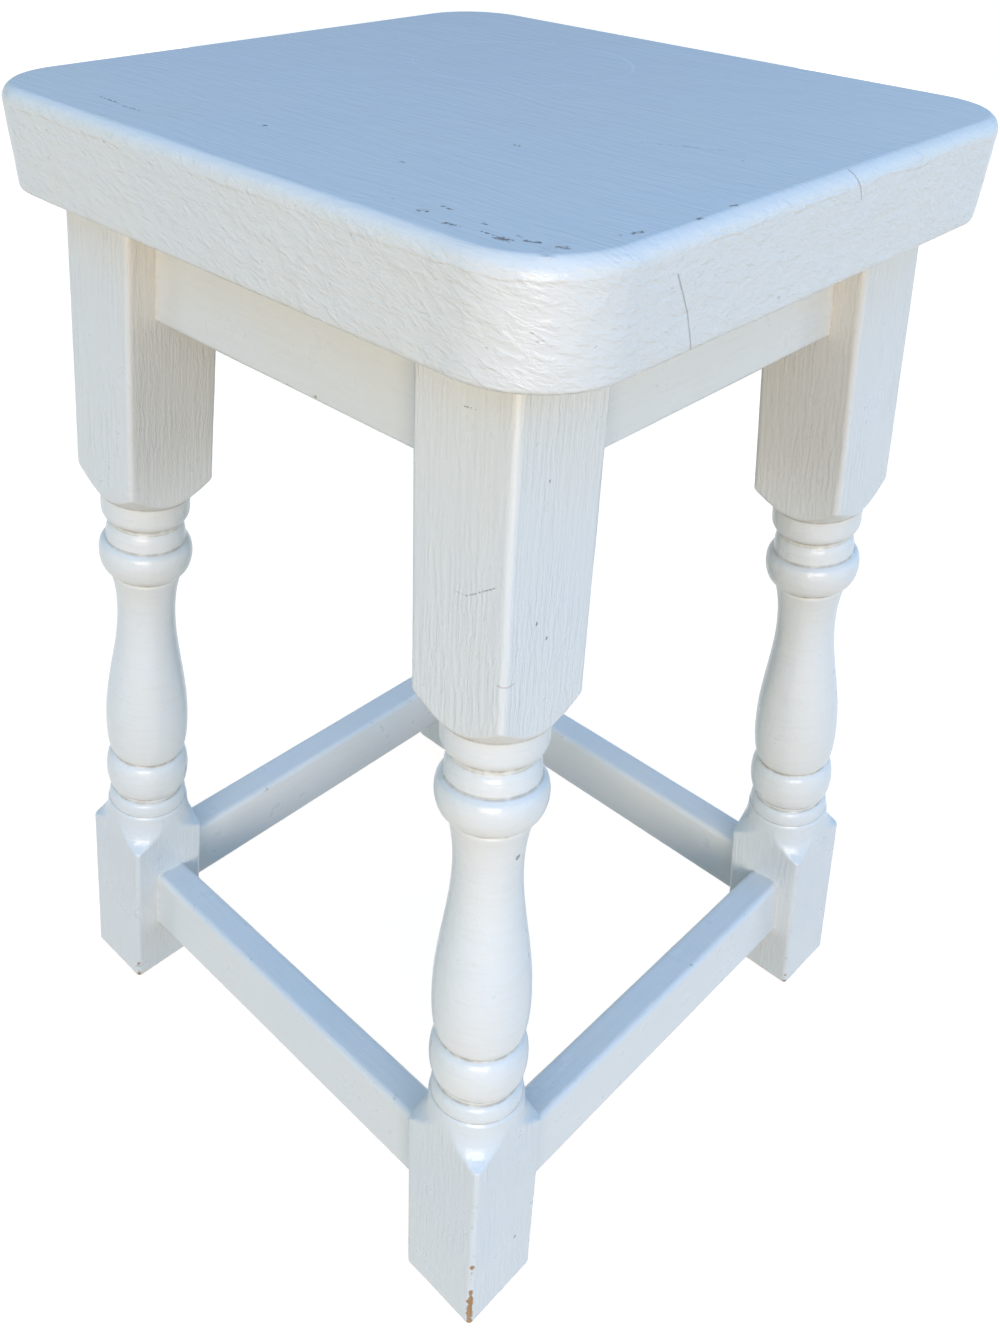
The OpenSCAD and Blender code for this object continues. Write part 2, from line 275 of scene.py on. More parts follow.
def paint(name, kind):
    """Thick brushed gloss paint. kind is leg, rail or seat."""
    t = Tree(name)
    loc = t.attr("loc", True)
    cav = t.attr("cavity")
    edge = t.attr("edge")
    foot = t.attr("foot")
    turned = t.attr("turned")
    # colour: slow warm and cool drifts, thin spots over ridges, brush drag
    big = t.noise(loc, 14, 2, 0.5)
    mid = t.noise(loc, 70, 3, 0.55)
    along = t.vec("MULTIPLY", loc, (1, 1, 0.045))
    round_ = t.vec("MULTIPLY", loc, (0.10, 0.10, 1))
    s_long = t.noise(along, 620, 3, 0.6)
    s_long2 = t.noise(along, 210, 2, 0.5)
    s_round = t.noise(round_, 560, 2, 0.5)
    stroke = t.math("ADD", t.mul(s_long, t.math("SUBTRACT", 1.0, turned)), t.mul(s_round, turned))
    col = t.mix(t.ramp(big, 0.25, 0.80), PAINT_COOL, PAINT)
    col = t.mix(t.mul(t.ramp(mid, 0.30, 0.90), 0.25), col, PAINT_WARM)
    col = t.mix(t.mul(t.ramp(stroke, 0.48, 0.70), 0.16), col, (0.68, 0.665, 0.61))
    # dirt, and painted shade: corners, grooves, rail joints and the leg tops under the seat are made warmer and darker
    gn = t.noise(loc, 240, 3, 0.6)
    grime_and_shade = t.mul(cav, t.ramp(gn, 0.30, 0.70, 0.35, 1.0))
    col = t.mix(t.mul(grime_and_shade, 0.34), col, PAINT_WARM)
    col = t.mix(t.mul(t.math("POWER", grime_and_shade, 2.2), 0.42), col, DIRT_AND_SHADE_BROWN)
    # specks of dirt caught in the paint
    v = t.voronoi(loc, 95, rand=1.0)
    pick = t.ramp(t.noise(loc, 31, 1, 0.5), 0.66, 0.72)
    speck = t.mul(t.ramp(v, 0.060, 0.028), pick)
    if kind == "seat":
        dirt = t.attr("dirt")
        v2 = t.voronoi(t.vec("MULTIPLY", loc, (1, 1, 0.7)), 380)
        pick2 = t.ramp(t.noise(loc, 150, 2, 0.6), 0.60, 0.68)
        speck = t.math("MAXIMUM", speck, t.mul(t.ramp(v2, 0.20, 0.10), pick2, dirt))
    col = t.mix(t.mul(speck, 0.85), col, SPECK)
    # chips: at the feet and here and there on the sharp edges
    chip_n = t.noise(loc, 300, 4, 0.72)
    chip_b = t.noise(loc, 22, 1, 0.5)
    want = t.add(t.mul(edge, 0.175), t.mul(foot, edge, 0.20), t.mul(foot, 0.05), t.mul(t.attr("chip"), 0.33), t.mul(chip_b, 0.12))
    reach = t.add(chip_n, want)
    chip = t.ramp(reach, 0.925, 0.945)
    worn = t.mul(t.ramp(reach, 0.84, 0.93), edge)
    col = t.mix(t.mul(worn, 0.35), col, (0.50, 0.50, 0.48))
    wood_n = t.noise(along, 1300, 3, 0.75)
    wood = t.mix(t.ramp(wood_n, 0.3, 0.7), BARE, BARE_PALE)
    col = t.mix(chip, col, wood)
    # dark brown lines: painted shade with dirt in the turned grooves, and the dark joint line at the rail shoulders
    groove = t.attr("groove")
    col = t.mix(t.mul(t.ramp(groove, 0.35, 1.0), t.ramp(gn, 0.25, 0.62, 0.35, 1.0), 0.55), col, GROOVE)
    obj = t.nt.nodes.new("ShaderNodeTexCoord").outputs["Object"]
    if kind != "seat":
        # painted shade: darker and cooler towards the floor
        low = t.nt.nodes.new("ShaderNodeSeparateXYZ")
        t.put(low.inputs[0], obj)
        low_shade = t.mul(t.ramp(low.outputs[2], 0.085, 0.150, 1.0, 0.0), 0.9 if kind == "leg" else 0.35)
        col = t.mix(low_shade, col, (0.86, 0.90, 0.94), mode="MULTIPLY")
    # height in millimetres
    peel = t.noise(loc, 210, 1.5, 0.45)
    if kind == "seat":
        side = t.attr("side")
        flat = t.math("SUBTRACT", 1.0, side)
        sep = t.nt.nodes.new("ShaderNodeSeparateXYZ")
        t.put(sep.inputs[0], obj)
        lean = t.nt.nodes.new("ShaderNodeCombineXYZ")
        t.put(lean.inputs[0], t.math("MULTIPLY_ADD", sep.outputs[2], 0.7, sep.outputs[0]))
        t.put(lean.inputs[1], t.math("MULTIPLY_ADD", sep.outputs[2], 0.7, sep.outputs[1]))
        t.put(lean.inputs[2], sep.outputs[2])
        slant = lean.outputs[0]
        lumps = t.noise(t.vec("MULTIPLY", slant, (0.6, 0.6, 1)), 340, 3, 0.6, 0.35)
        drag = t.noise(t.vec("MULTIPLY", slant, (0.12, 0.12, 1)), 820, 3, 0.6)
        pits = t.voronoi(t.vec("MULTIPLY", obj, (0.6, 0.6, 1)), 330)
        pit = t.mul(t.ramp(pits, 0.16, 0.05), t.ramp(t.noise(obj, 90, 2, 0.5), 0.54, 0.66))
        # wavy lip where the edge's paint stops under the rounded-over top
        lip_z = t.math("MULTIPLY_ADD", t.noise(t.vec("MULTIPLY", obj, (1, 1, 0.2)), 55, 3, 0.6), 0.0052, 0.4387)
        lip = t.mul(t.ramp(t.math("ABSOLUTE", t.math("SUBTRACT", sep.outputs[2], lip_z)), 0.0009, 0.0001), t.ramp(t.noise(obj, 38, 2, 0.5), 0.38, 0.56))
        h_side = t.add(t.mul(t.ramp(lumps, 0.36, 0.72), 0.19), t.mul(drag, 0.12), t.mul(pit, -0.14), t.mul(lip, 0.13))
        swirl = t.noise(loc, 26, 2, 0.5, colour=True)
        lay = t.vec("ADD", loc, t.vec("SCALE", t.vec("SUBTRACT", swirl, (0.5, 0.5, 0.5)), 0.010))
        strokes = t.ramp(t.noise(t.vec("MULTIPLY", lay, (1, 1, 0.06)), 560, 3, 0.6), 0.28, 0.72)
        h_top = t.add(t.mul(strokes, 0.075), t.mul(s_long2, 0.06), t.mul(peel, 0.03))
        col = t.mix(t.mul(t.ramp(strokes, 0.55, 0.95), flat, 0.10), col, (0.62, 0.63, 0.62))
        h = t.add(t.mul(h_side, side), t.mul(h_top, flat))
        col = t.mix(t.mul(pit, side, 0.30), col, DIRT_AND_SHADE_BROWN)
        # ring left by a mug
        wob = t.noise(obj, 60, 2, 0.5, colour=True)
        pos = t.vec("ADD", obj, t.vec("SCALE", t.vec("SUBTRACT", wob, (0.5, 0.5, 0.5)), 0.0016))
        d = t.vec("DISTANCE", t.vec("MULTIPLY", pos, (1, 1, 0)), (-0.031, 0.0445, 0))
        ring = t.ramp(t.math("ABSOLUTE", t.math("SUBTRACT", d, 0.041)), 0.0011, 0.0003)
        ring = t.mul(ring, t.ramp(t.noise(obj, 55, 2, 0.5), 0.34, 0.60), flat)
        col = t.mix(t.mul(ring, 0.50), col, (0.88, 0.90, 0.90))
        # dark nicks on the top, most of them along the near corner
        rag = t.vec("ADD", pos, t.vec("SCALE", t.vec("SUBTRACT", t.noise(obj, 800, 3, 0.7, colour=True), (0.5, 0.5, 0.5)), 0.0022))
        nick = None
        for (x0, y0, x1, y1, w) in ((75.6, -112.2, 77.2, -111.4, 0.8), (77.0, -105.6, 80.4, -105.9, 0.5), (86.9, -114.6, 90.8, -113.9, 0.6), (92.6, -107.7, 94.0, -107.9, 0.5),
                                    (97.2, -112.2, 101.0, -112.4, 0.4), (102.6, -112.9, 105.6, -112.3, 1.1), (105.0, -108.6, 105.6, -108.9, 0.6), (108.2, -109.6, 111.4, -108.4, 0.6),
                                    (116.4, -107.4, 118.0, -106.4, 0.9), (121.6, -86.4, 122.2, -83.6, 0.7), (125.0, -65.2, 125.5, -63.9, 0.6), (124.3, -50.2, 124.7, -48.2, 0.6),
                                    (-77.3, -106.4, -66.0, -106.6, 0.35), (-62.0, -107.8, -53.6, -107.4, 0.3), (-15.0, -89.6, -14.1, -89.2, 0.7),
                                    (40.2, -85.6, 42.0, -85.4, 0.4), (48.6, -47.8, 50.4, -47.5, 0.4)):
            n = t.segment(rag, (x0 * MM, y0 * MM), (x1 * MM, y1 * MM), w * MM)
            nick = n if nick is None else t.math("MAXIMUM", nick, n)
        nick = t.mul(nick, t.ramp(t.noise(obj, 900, 2, 0.6), 0.40, 0.52), flat)
        col = t.mix(t.mul(nick, 0.85), col, SPECK)
        scratch = t.segment(pos, (0.071, -0.0165), (0.0932, -0.0041), 0.0004)
        bright = None
        for (x0, y0, x1, y1) in SCRATCHES:
            n = t.segment(pos, (x0 * MM, y0 * MM), (x1 * MM, y1 * MM), 0.00042)
            bright = n if bright is None else t.math("MAXIMUM", bright, n)
        bright = t.mul(bright, flat)
        col = t.mix(t.mul(bright, 0.6), col, (0.88, 0.90, 0.92))
        scratch = t.mul(scratch, t.ramp(t.noise(obj, 400, 2, 0.6), 0.40, 0.55), flat)
        col = t.mix(t.mul(scratch, 0.5), col, (0.30, 0.30, 0.30))
        # rough ridge of paint over the near corner, with a painted highlight lightening it
        rough_mask = t.segment(pos, (0.1162, -0.1056), (0.1176, -0.1128), 0.0024)
        rough_mask = t.mul(rough_mask, t.ramp(sep.outputs[2], 0.4461, 0.4454))
        ridge = t.mul(rough_mask, t.noise(obj, 820, 3, 0.75))
        col = t.mix(t.mul(t.ramp(ridge, 0.42, 0.6), 0.35), col, (0.86, 0.86, 0.85))
        # cracks in the right-hand edge
        crack = None
        for (p0, p1) in (((-0.0772, 0.4360), (-0.0700, 0.4250)), ((-0.0700, 0.4250), (-0.0656, 0.4135)), ((0.0059, 0.4455), (0.0110, 0.4375))):
            c = t.segment(pos, p0, p1, 0.00022, dims=(1, 2))
            crack = c if crack is None else t.math("MAXIMUM", crack, c)
        crack = t.mul(crack, t.ramp(t.vec("DOT_PRODUCT", obj, (1, 0, 0)), 0.115, 0.120))
        col = t.mix(t.mul(crack, 0.6), col, (0.30, 0.27, 0.23))
        # combed brush marks beside the corner
        comb = t.segment(obj, (-0.100, 0.4380), (-0.078, 0.4255), 0.009, dims=(1, 2))
        comb = t.mul(comb, t.ramp(t.vec("DOT_PRODUCT", obj, (1, 0, 0)), 0.105, 0.118))
        lines = t.math("SINE", t.add(t.mul(t.vec("DOT_PRODUCT", obj, (0, 0.62, 0.78)), 4600.0), t.mul(t.noise(obj, 160, 2, 0.5), 7.0)))
        h = t.add(h, t.mul(ring, 0.05), t.mul(nick, -0.15), t.mul(scratch, -0.06), t.mul(bright, 0.07), t.mul(ridge, 0.9), t.mul(crack, -0.18), t.mul(comb, lines, 0.035))
    else:
        # raised grain and brush lines along the wood, strongest where the face was planed across the rings
        k_l, k_r = (0.190, 0.050) if kind == "leg" else (0.070, 0.045)
        square = t.math("SUBTRACT", 1.0, turned)
        wavy = t.vec("ADD", t.vec("MULTIPLY", loc, (1, 1, 0.085)), t.vec("SCALE", t.vec("SUBTRACT", t.noise(loc, 110, 3, 0.6, colour=True), (0.5, 0.5, 0.5)), 0.0026))
        grain = t.ramp(t.noise(wavy, 640, 3, 0.6), 0.30, 0.70)
        patch = t.ramp(t.noise(t.vec("MULTIPLY", loc, (1, 1, 0.4)), 40, 2, 0.5), 0.35, 0.65, 0.45, 1.0)
        h = t.add(t.mul(grain, square, patch, k_l), t.mul(s_long2, square, 0.06), t.mul(s_round, turned, k_r), t.mul(peel, 0.05), t.mul(t.noise(loc, 330, 3, 0.6), turned, 0.30),
                  t.mul(t.ramp(t.noise(loc, 420, 2, 0.5), 0.5, 0.75), 0.02))
    if kind == "leg":
        # painted shade on the inner sides under the seat
        col = t.mix(t.mul(t.attr("inner"), 0.60), col, (0.585, 0.560, 0.505))
        # marks on the near leg
        sep = t.nt.nodes.new("ShaderNodeSeparateXYZ")
        t.put(sep.inputs[0], obj)
        face_l = t.mul(t.ramp(sep.outputs[1], -0.1085, -0.1095), t.ramp(sep.outputs[0], 0.070, 0.072))
        face_r = t.mul(t.ramp(sep.outputs[0], 0.1085, 0.1095), t.ramp(sep.outputs[1], -0.080, -0.082))
        dots = t.ramp(t.noise(obj, 1500, 1, 0.5), 0.46, 0.54)
        fine = t.math("MAXIMUM", t.segment(obj, (0.0950, 0.3440), (0.0990, 0.3444), 0.00022, dims=(0, 2)), t.segment(obj, (0.0990, 0.3444), (0.1094, 0.3520), 0.00022, dims=(0, 2)))
        fine = t.math("MAXIMUM", fine, t.segment(obj, (0.0905, 0.3985), (0.0952, 0.3992), 0.0002, dims=(0, 2)))
        fine = t.mul(fine, dots, face_l)
        spots = None
        for (y, z, w) in ((-0.1023, 0.3367, 0.00045), (-0.0979, 0.3297, 0.00042), (-0.0969, 0.3797, 0.0003), (-0.1171, 0.0320, 0.0007)):
            n = t.segment(obj, (y, z), (y + 0.0001, z + 0.0004), w, dims=(1, 2))
            spots = n if spots is None else t.math("MAXIMUM", spots, n)
        spots = t.mul(spots, face_r)
        neck = t.ramp(t.vec("DISTANCE", obj, (0.1177, -0.1044, 0.2418)), 0.0015, 0.0009)
        neck = t.mul(neck, t.ramp(t.noise(obj, 900, 2, 0.5), 0.42, 0.5))
        red = t.mul(t.segment(obj, (0.1145, 0.3216), (0.1172, 0.3212), 0.00030, dims=(0, 2)), t.ramp(sep.outputs[1], -0.1120, -0.1128))
        col = t.mix(t.mul(fine, 0.70), col, (0.22, 0.20, 0.18))
        col = t.mix(t.mul(t.math("MAXIMUM", spots, neck), 0.80), col, (0.10, 0.09, 0.08))
        col = t.mix(t.mul(red, 0.40), col, (0.45, 0.20, 0.17))
        h = t.add(h, t.mul(fine, -0.08), t.mul(spots, -0.12), t.mul(neck, -0.15), t.mul(red, -0.06))
    h = t.add(h, t.mul(chip, -0.22), t.mul(speck, 0.05))
    if kind == "seat":
        rough = t.add(0.14, t.mul(side, 0.14), t.mul(mid, 0.10), t.mul(chip, 0.35))
    else:
        rough = t.add(0.24, t.mul(mid, 0.10), t.mul(chip, 0.35), t.mul(grime_and_shade, 0.15))
    t.put(t.bsdf.inputs["Base Color"], col)
    t.put(t.bsdf.inputs["Roughness"], rough)
    t.put(t.bsdf.inputs["Normal"], t.bump(h))
    t.bsdf.inputs["IOR"].default_value = 1.5
    t.bsdf.inputs["Coat Weight"].default_value = 0.25
    t.bsdf.inputs["Coat Roughness"].default_value = 0.12
    return t.mat


def pine(name):
    t = Tree(name)
    obj = t.nt.nodes.new("ShaderNodeTexCoord").outputs["Object"]
    p = t.vec("MULTIPLY", obj, (1, 1, 0.15))
    warp = t.noise(p, 12, 2, 0.5)
    sep = t.nt.nodes.new("ShaderNodeSeparateXYZ")
    t.put(sep.inputs[0], obj)
    g = t.add(t.mul(sep.outputs[0], 260), t.mul(sep.outputs[1], 190), t.mul(warp, 9))
    bands = t.math("MULTIPLY_ADD", t.math("SINE", g), 0.5, 0.5)
    fine = t.noise(t.vec("MULTIPLY", obj, (1, 0.2, 1)), 900, 3, 0.6)
    col = t.mix(t.math("POWER", bands, 2.5), (0.66, 0.46, 0.25), (0.50, 0.29, 0.13))
    col = t.mix(t.mul(fine, 0.25), col, (0.80, 0.62, 0.38))
    saw = t.noise(t.vec("MULTIPLY", obj, (0.1, 0.1, 1)), 1400, 1, 0.5)
    t.put(t.bsdf.inputs["Base Color"], col)
    t.put(t.bsdf.inputs["Roughness"], t.add(0.62, t.mul(fine, 0.2)))
    t.put(t.bsdf.inputs["Normal"], t.bump(t.add(t.mul(bands, 0.04), t.mul(fine, 0.05), t.mul(saw, 0.06))))
    return t.mat


def beech(name):
    t = Tree(name)
    obj = t.nt.nodes.new("ShaderNodeTexCoord").outputs["Object"]
    fleck = t.noise(t.vec("MULTIPLY", obj, (1, 0.08, 1)), 1500, 2, 0.6)
    slow = t.noise(t.vec("MULTIPLY", obj, (1, 0.2, 1)), 200, 2, 0.5)
    col = t.mix(slow, (0.66, 0.46, 0.29), (0.74, 0.55, 0.37))
    col = t.mix(t.ramp(fleck, 0.58, 0.70), col, (0.42, 0.26, 0.15))
    t.put(t.bsdf.inputs["Base Color"], col)
    t.put(t.bsdf.inputs["Roughness"], t.add(0.5, t.mul(slow, 0.2)))
    t.put(t.bsdf.inputs["Normal"], t.bump(t.mul(fleck, 0.04)))
    return t.mat


def zinc(name):
    t = Tree(name)
    obj = t.nt.nodes.new("ShaderNodeTexCoord").outputs["Object"]
    n1 = t.noise(obj, 700, 3, 0.6)
    n2 = t.noise(obj, 160, 2, 0.5)
    col = t.mix(n1, (0.42, 0.42, 0.41), (0.62, 0.62, 0.60))
    col = t.mix(t.ramp(n2, 0.58, 0.72), col, (0.34, 0.27, 0.19))
    t.put(t.bsdf.inputs["Base Color"], col)
    t.bsdf.inputs["Metallic"].default_value = 1.0
    t.put(t.bsdf.inputs["Roughness"], t.add(0.3, t.mul(n1, 0.25)))
    t.put(t.bsdf.inputs["Normal"], t.bump(t.mul(n1, 0.02)))
    return t.mat


# ------------------------------------------------------------------ legs

def bead(s0, r0, sm, rm, s1, r1, n):
    a = np.radians(np.linspace(0, 90, n))
    up = [(sm - (sm - s0) * math.cos(x), r0 + (rm - r0) * math.sin(x)) for x in a]
    return up + [(sm + (s1 - sm) * math.sin(x), r1 + (rm - r1) * math.cos(x)) for x in a[1:]]


def outline():
    """The turning's radius at each height up the leg, in millimetres."""
    p = [(60, 58), (98, 26.8), (99.6, 24.9), (101.4, 23.2), (103.4, 21.8), (106, 20.7), (109.4, 20.0), (113, 19.6), (116.4, 19.4), (117.0, 18.6)]
    p += bead(117.3, 18.4, 119, 18.7, 124.8, 16.8, 12)
    p += [(125.4, 16.5), (127.4, 16.5)]
    p += bead(127.9, 16.7, 138.6, 19.6, 149.4, 16.4, 24)
    p += [(150.1, 16.1)]
    p += [(167.5 - 16.7 * math.cos(x), 16.4 + 2.7 * math.sin(x)) for x in np.radians(np.linspace(0, 90, 24))]
    p += [(167.5 + 66.5 * u, 12.75 + 6.35 * (1 + math.cos(math.pi * u ** 1.08)) / 2) for u in np.linspace(0, 1, 70)[1:]]
    p += [(234 + 19.8 * u, 12.75 + 2.15 * u ** 2.1) for u in np.linspace(0, 1, 30)[1:]]
    p += [(255.1, 14.3)]
    p += bead(256, 15, 265.8, 19.7, 271.8, 17.3, 24)
    p += [(272.2, 16.8)]
    p += [(272.6 + 7.7 * math.sin(x), 15 + 1.7 * math.cos(x)) for x in np.radians(np.linspace(0, 90, 12))]
    p += [(282.6, 14.9)]
    p += [(287.5 - 4.3 * math.cos(x), 15.8 + 2.5 * math.sin(x)) for x in np.radians(np.linspace(0, 90, 12))]
    p += [(295, 18.3), (303.5, 26.8), (340, 60)]
    return np.array(p)


def square_radius(theta, h, rc):
    a = np.abs((theta + math.pi / 4) % (math.pi / 2) - math.pi / 4)
    flat = h / np.cos(a)
    c = math.sqrt(2) * (h - rc)
    phi = a - math.pi / 4
    corner = c * np.cos(phi) + np.sqrt(np.maximum(rc ** 2 - (c * np.sin(phi)) ** 2, 0))
    return np.where(h * np.tan(a) > h - rc, corner, flat)


LEAN = (Matrix.Rotation(math.radians(135), 3, "Z") @ Matrix.Rotation(TILT, 3, "Y") @ Matrix.Rotation(math.radians(-135), 3, "Z"))
LEAN = np.array(LEAN)


def leg_piece(name, mx, my, seed, chips=()):
    q = np.concatenate([np.linspace(0, 38, 13)[:-1], np.linspace(38, 52, 15)[:-1], np.linspace(52, 90, 13)[:-1]])
    theta = np.radians(np.concatenate([q + 90 * k for k in range(4)]))
    n = len(theta)
    rc = 2.2
    rsq = square_radius(theta, 19.8, rc)
    cs, sn = np.cos(theta), np.sin(theta)
    # rows
    low = np.concatenate([[0, 0.35, 0.8, 1.4, 2.2, 3.4], np.linspace(5, 92, 34)])
    mid = np.arange(92.5, 312, 0.55)
    high = np.linspace(0, 1, 36)
    prof = outline()
    sg = np.arange(60, 340, 0.05)
    rg = np.interp(sg, prof[:, 0], prof[:, 1])
    ker = np.exp(-0.5 * (np.arange(-30, 31) * 0.05 / 0.32) ** 2)
    rs = np.convolve(np.pad(rg, 30, mode="edge"), ker / ker.sum(), "valid")
    ker2 = np.exp(-0.5 * (np.arange(-200, 201) * 0.05 / 2.6) ** 2)
    body = np.minimum(rs, 20.6)
    wide = np.convolve(np.pad(body, 200, mode="edge"), ker2 / ker2.sum(), "valid")
    ker3 = np.exp(-0.5 * (np.arange(-60, 61) * 0.05 / 0.8) ** 2)
    near = np.convolve(np.pad(body, 60, mode="edge"), ker3 / ker3.sum(), "valid")
    # where each generator of the square block meets the floor and the seat
    X, Y = rsq * cs, rsq * sn
    s_floor = -(LEAN[2, 0] * X + LEAN[2, 1] * Y) / LEAN[2, 2]
    s_top = (UNDER / MM - LEAN[2, 0] * X - LEAN[2, 1] * Y) / LEAN[2, 2]
    S, R, T, C, E, F, G = [], [], [], [], [], [], []
    arris = np.exp(-((np.abs((theta % (math.pi / 2)) - math.pi / 4) * 26 / 2.0) ** 2))
    for d in low:
        f = d / 92.0
        S.append(s_floor * (1 - f) + 92 * f)
        ease = 0 if d >= 1.4 else 1.4 - math.sqrt(max(1.4 ** 2 - (1.4 - d) ** 2, 0))
        R.append(rsq - ease)
        T.append(0 * theta)
        C.append(0 * theta)
        E.append(np.maximum(arris, np.exp(-d / 2.0)))
        F.append(np.exp(-d / 16.0) + 0 * theta)
        G.append(0 * theta)
    for s in mid:
        rt = np.interp(s, sg, rs)
        h = np.maximum(0.5 - np.abs(rsq - rt), 0) / 0.5
        r = np.minimum(rsq, rt) - h * h * 0.125
        S.append(s + 0 * theta)
        R.append(r)
        turn = smooth(-0.6, 0.6, rsq - rt)
        T.append(turn)
        C.append(np.clip((np.interp(s, sg, wide) - np.interp(s, sg, body)) / 1.3, 0, 1) * turn)
        E.append(arris * (1 - turn))
        F.append(0 * theta)
        G.append(np.clip((np.interp(s, sg, near) - np.interp(s, sg, body) - 0.03) / 0.16, 0, 1) * turn)
    for u in high:
        S.append(312.2 * (1 - u) + s_top * u)
        R.append(rsq)
        T.append(0 * theta)
        C.append(smooth(0.965, 1.0, u) * 0.6 + 0 * theta)
        E.append(arris * (1 - 0.7 * smooth(0.7, 1, u)))
        F.append(0 * theta)
        G.append(0 * theta)
    S, R = np.array(S), np.array(R)
    rows = len(S)
    loc = np.stack([R * cs, R * sn, S], -1) * MM
    flat = loc.reshape(-1, 3) + np.array([0.31, 0.17, 0.53]) * seed
    # slow unevenness of hand-brushed paint over hand-sanded wood
    dr = 0.11 * vnoise(flat * np.array([1, 1, 0.4]), 120, seed) + 0.05 * vnoise(flat, 330, seed + 5)
    dr = dr.reshape(rows, n)
    fade = np.ones(rows)
    fade[:2] = 0
    fade[-1] = 0
    R2 = R - 0.06 + dr * fade[:, None] * 0.6
    # painted shade: the sides that face each other under the seat are darker and warmer towards the seat
    deg = np.degrees(theta)
    inner = smooth(42, 48, deg) * (1 - smooth(222, 228, deg)) * smooth(285, 335, S)
    # dents and chips pressed into the surface
    chip = np.zeros_like(R2)
    for (cx, cy, c_s, size, depth) in chips:
        d2 = ((R * cs - cx) ** 2 + (R * sn - cy) ** 2 + ((S - c_s) * 0.6) ** 2) / size ** 2
        chip = np.maximum(chip, np.exp(-d2))
        R2 -= depth * np.exp(-d2 * 1.5)
    P = np.stack([R2 * cs, R2 * sn, S], -1)
    W = P @ LEAN.T * MM + np.array([AXIS, -AXIS, 0])
    W[0, :, 2] = 0
    W[-1, :, 2] = UNDER
    if mx:
        W[..., 0] *= -1
    if my:
        W[..., 1] *= -1
    attrs = {"loc": flat.reshape(rows, n, 3), "turned": np.array(T), "cavity": np.array(C), "edge": np.array(E),
             "foot": np.array(F), "groove": np.array(G), "inner": inner, "chip": chip}
    ob = rings_to_mesh(name, W, attrs, flip=(mx != my))
    sharpen(ob, 60)
    return ob


# ------------------------------------------------------------------ rails

def leg_plane():
    """Point and normal of the front right leg's inner side face."""
    nrm = LEAN @ np.array([-1.0, 0, 0])
    pt = LEAN @ np.array([-19.8, 0, 0]) + np.array([AXIS / MM, -AXIS / MM, 0])
    return pt, nrm


